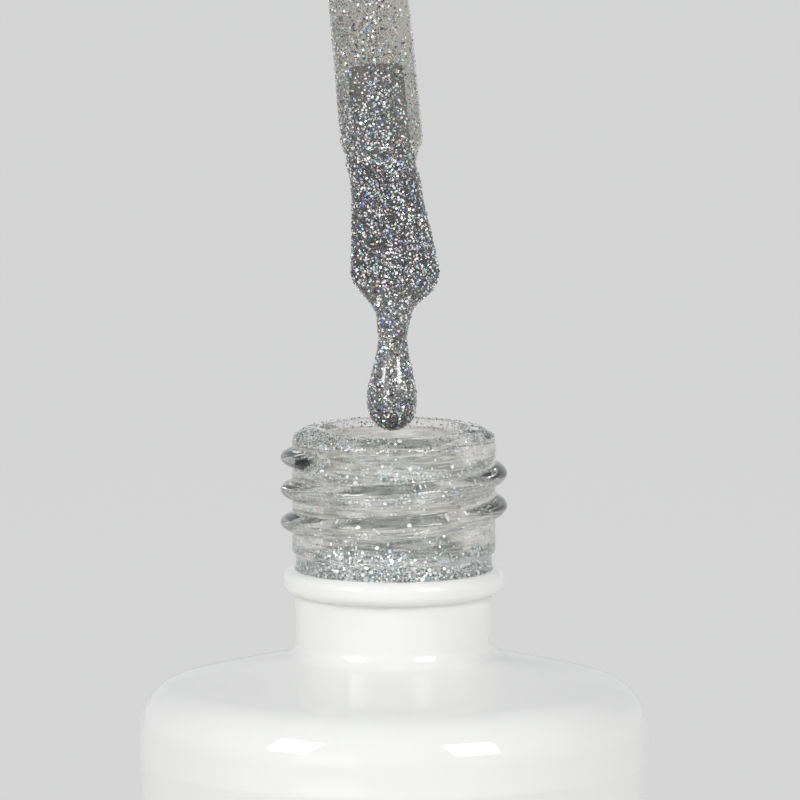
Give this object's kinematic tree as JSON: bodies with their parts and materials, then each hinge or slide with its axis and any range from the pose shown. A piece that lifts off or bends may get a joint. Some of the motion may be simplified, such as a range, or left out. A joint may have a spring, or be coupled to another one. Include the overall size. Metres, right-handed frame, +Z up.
{
  "type": "nail polish bottle",
  "caption": "Open round glass bottle of glitter nail polish, coated white, with a screw neck, and its flat brush on a two-part screw cap raised dripping over the mouth.",
  "frame": {"origin": "centre of the bottle's foot, on the surface it stands on", "axes": "+Z up along the bottle's axis; -Y towards the viewer; the raised brush leans towards -X"},
  "size_m": [0.0331, 0.033, 0.1297],
  "materials": {
    "clear_glass": "clear flint glass, fire polished",
    "white_enamel": "glossy white coating on glass",
    "glitter_polish": "wet grey gel packed with silver holographic flakes",
    "polished_steel": "polished steel balls",
    "natural_polyethylene": "milky moulded polyethylene",
    "nylon_bristle": "black nylon filaments",
    "anchor_wire": "drawn steel wire",
    "cap_liner_plastic": "moulded white polypropylene",
    "overcap_plastic": "glossy white moulded plastic"
  },
  "bodies": {
    "bottle": {"bottle_glass": "clear_glass", "bottle_coat": "white_enamel", "polish_fill": "glitter_polish", "neck_residue": "glitter_polish", "mixing_balls": "polished_steel"},
    "washer": {"seal_washer": "natural_polyethylene"},
    "brush": {"brush_stem": "natural_polyethylene", "stem_film": "glitter_polish", "bristle_tuft": "nylon_bristle", "tuft_anchor": "anchor_wire", "polish_drop": "glitter_polish"},
    "cap": {"inner_cap": "cap_liner_plastic"},
    "overcap": {"outer_cap": "overcap_plastic"}
  },
  "joints": [
    {"name": "brush_raise", "type": "hinge", "parent": "bottle", "child": "washer", "pos_m": [-0.54671, 0, 0.0401], "axis": [0, -1, 0], "range_deg": [-5.3, 1]},
    {"name": "cap_rise", "type": "slide", "parent": "washer", "child": "brush", "axis": [-0.0924, 0, 0.9957], "range_m": [0, 0.00265]},
    {"name": "cap_turn", "type": "hinge", "parent": "brush", "child": "cap", "pos_m": [-0.00371, 0, 0.10544], "axis": [-0.0924, 0, 0.9957], "range_deg": [0, 450]},
    {"name": "overcap_pull", "type": "slide", "parent": "cap", "child": "overcap", "axis": [-0.0924, 0, 0.9957], "range_m": [0, 0.02]}
  ],
  "couplings": [
    {"joint": "cap_rise", "follows": "cap_turn", "m_per_rad": 0.00033693}
  ]
}
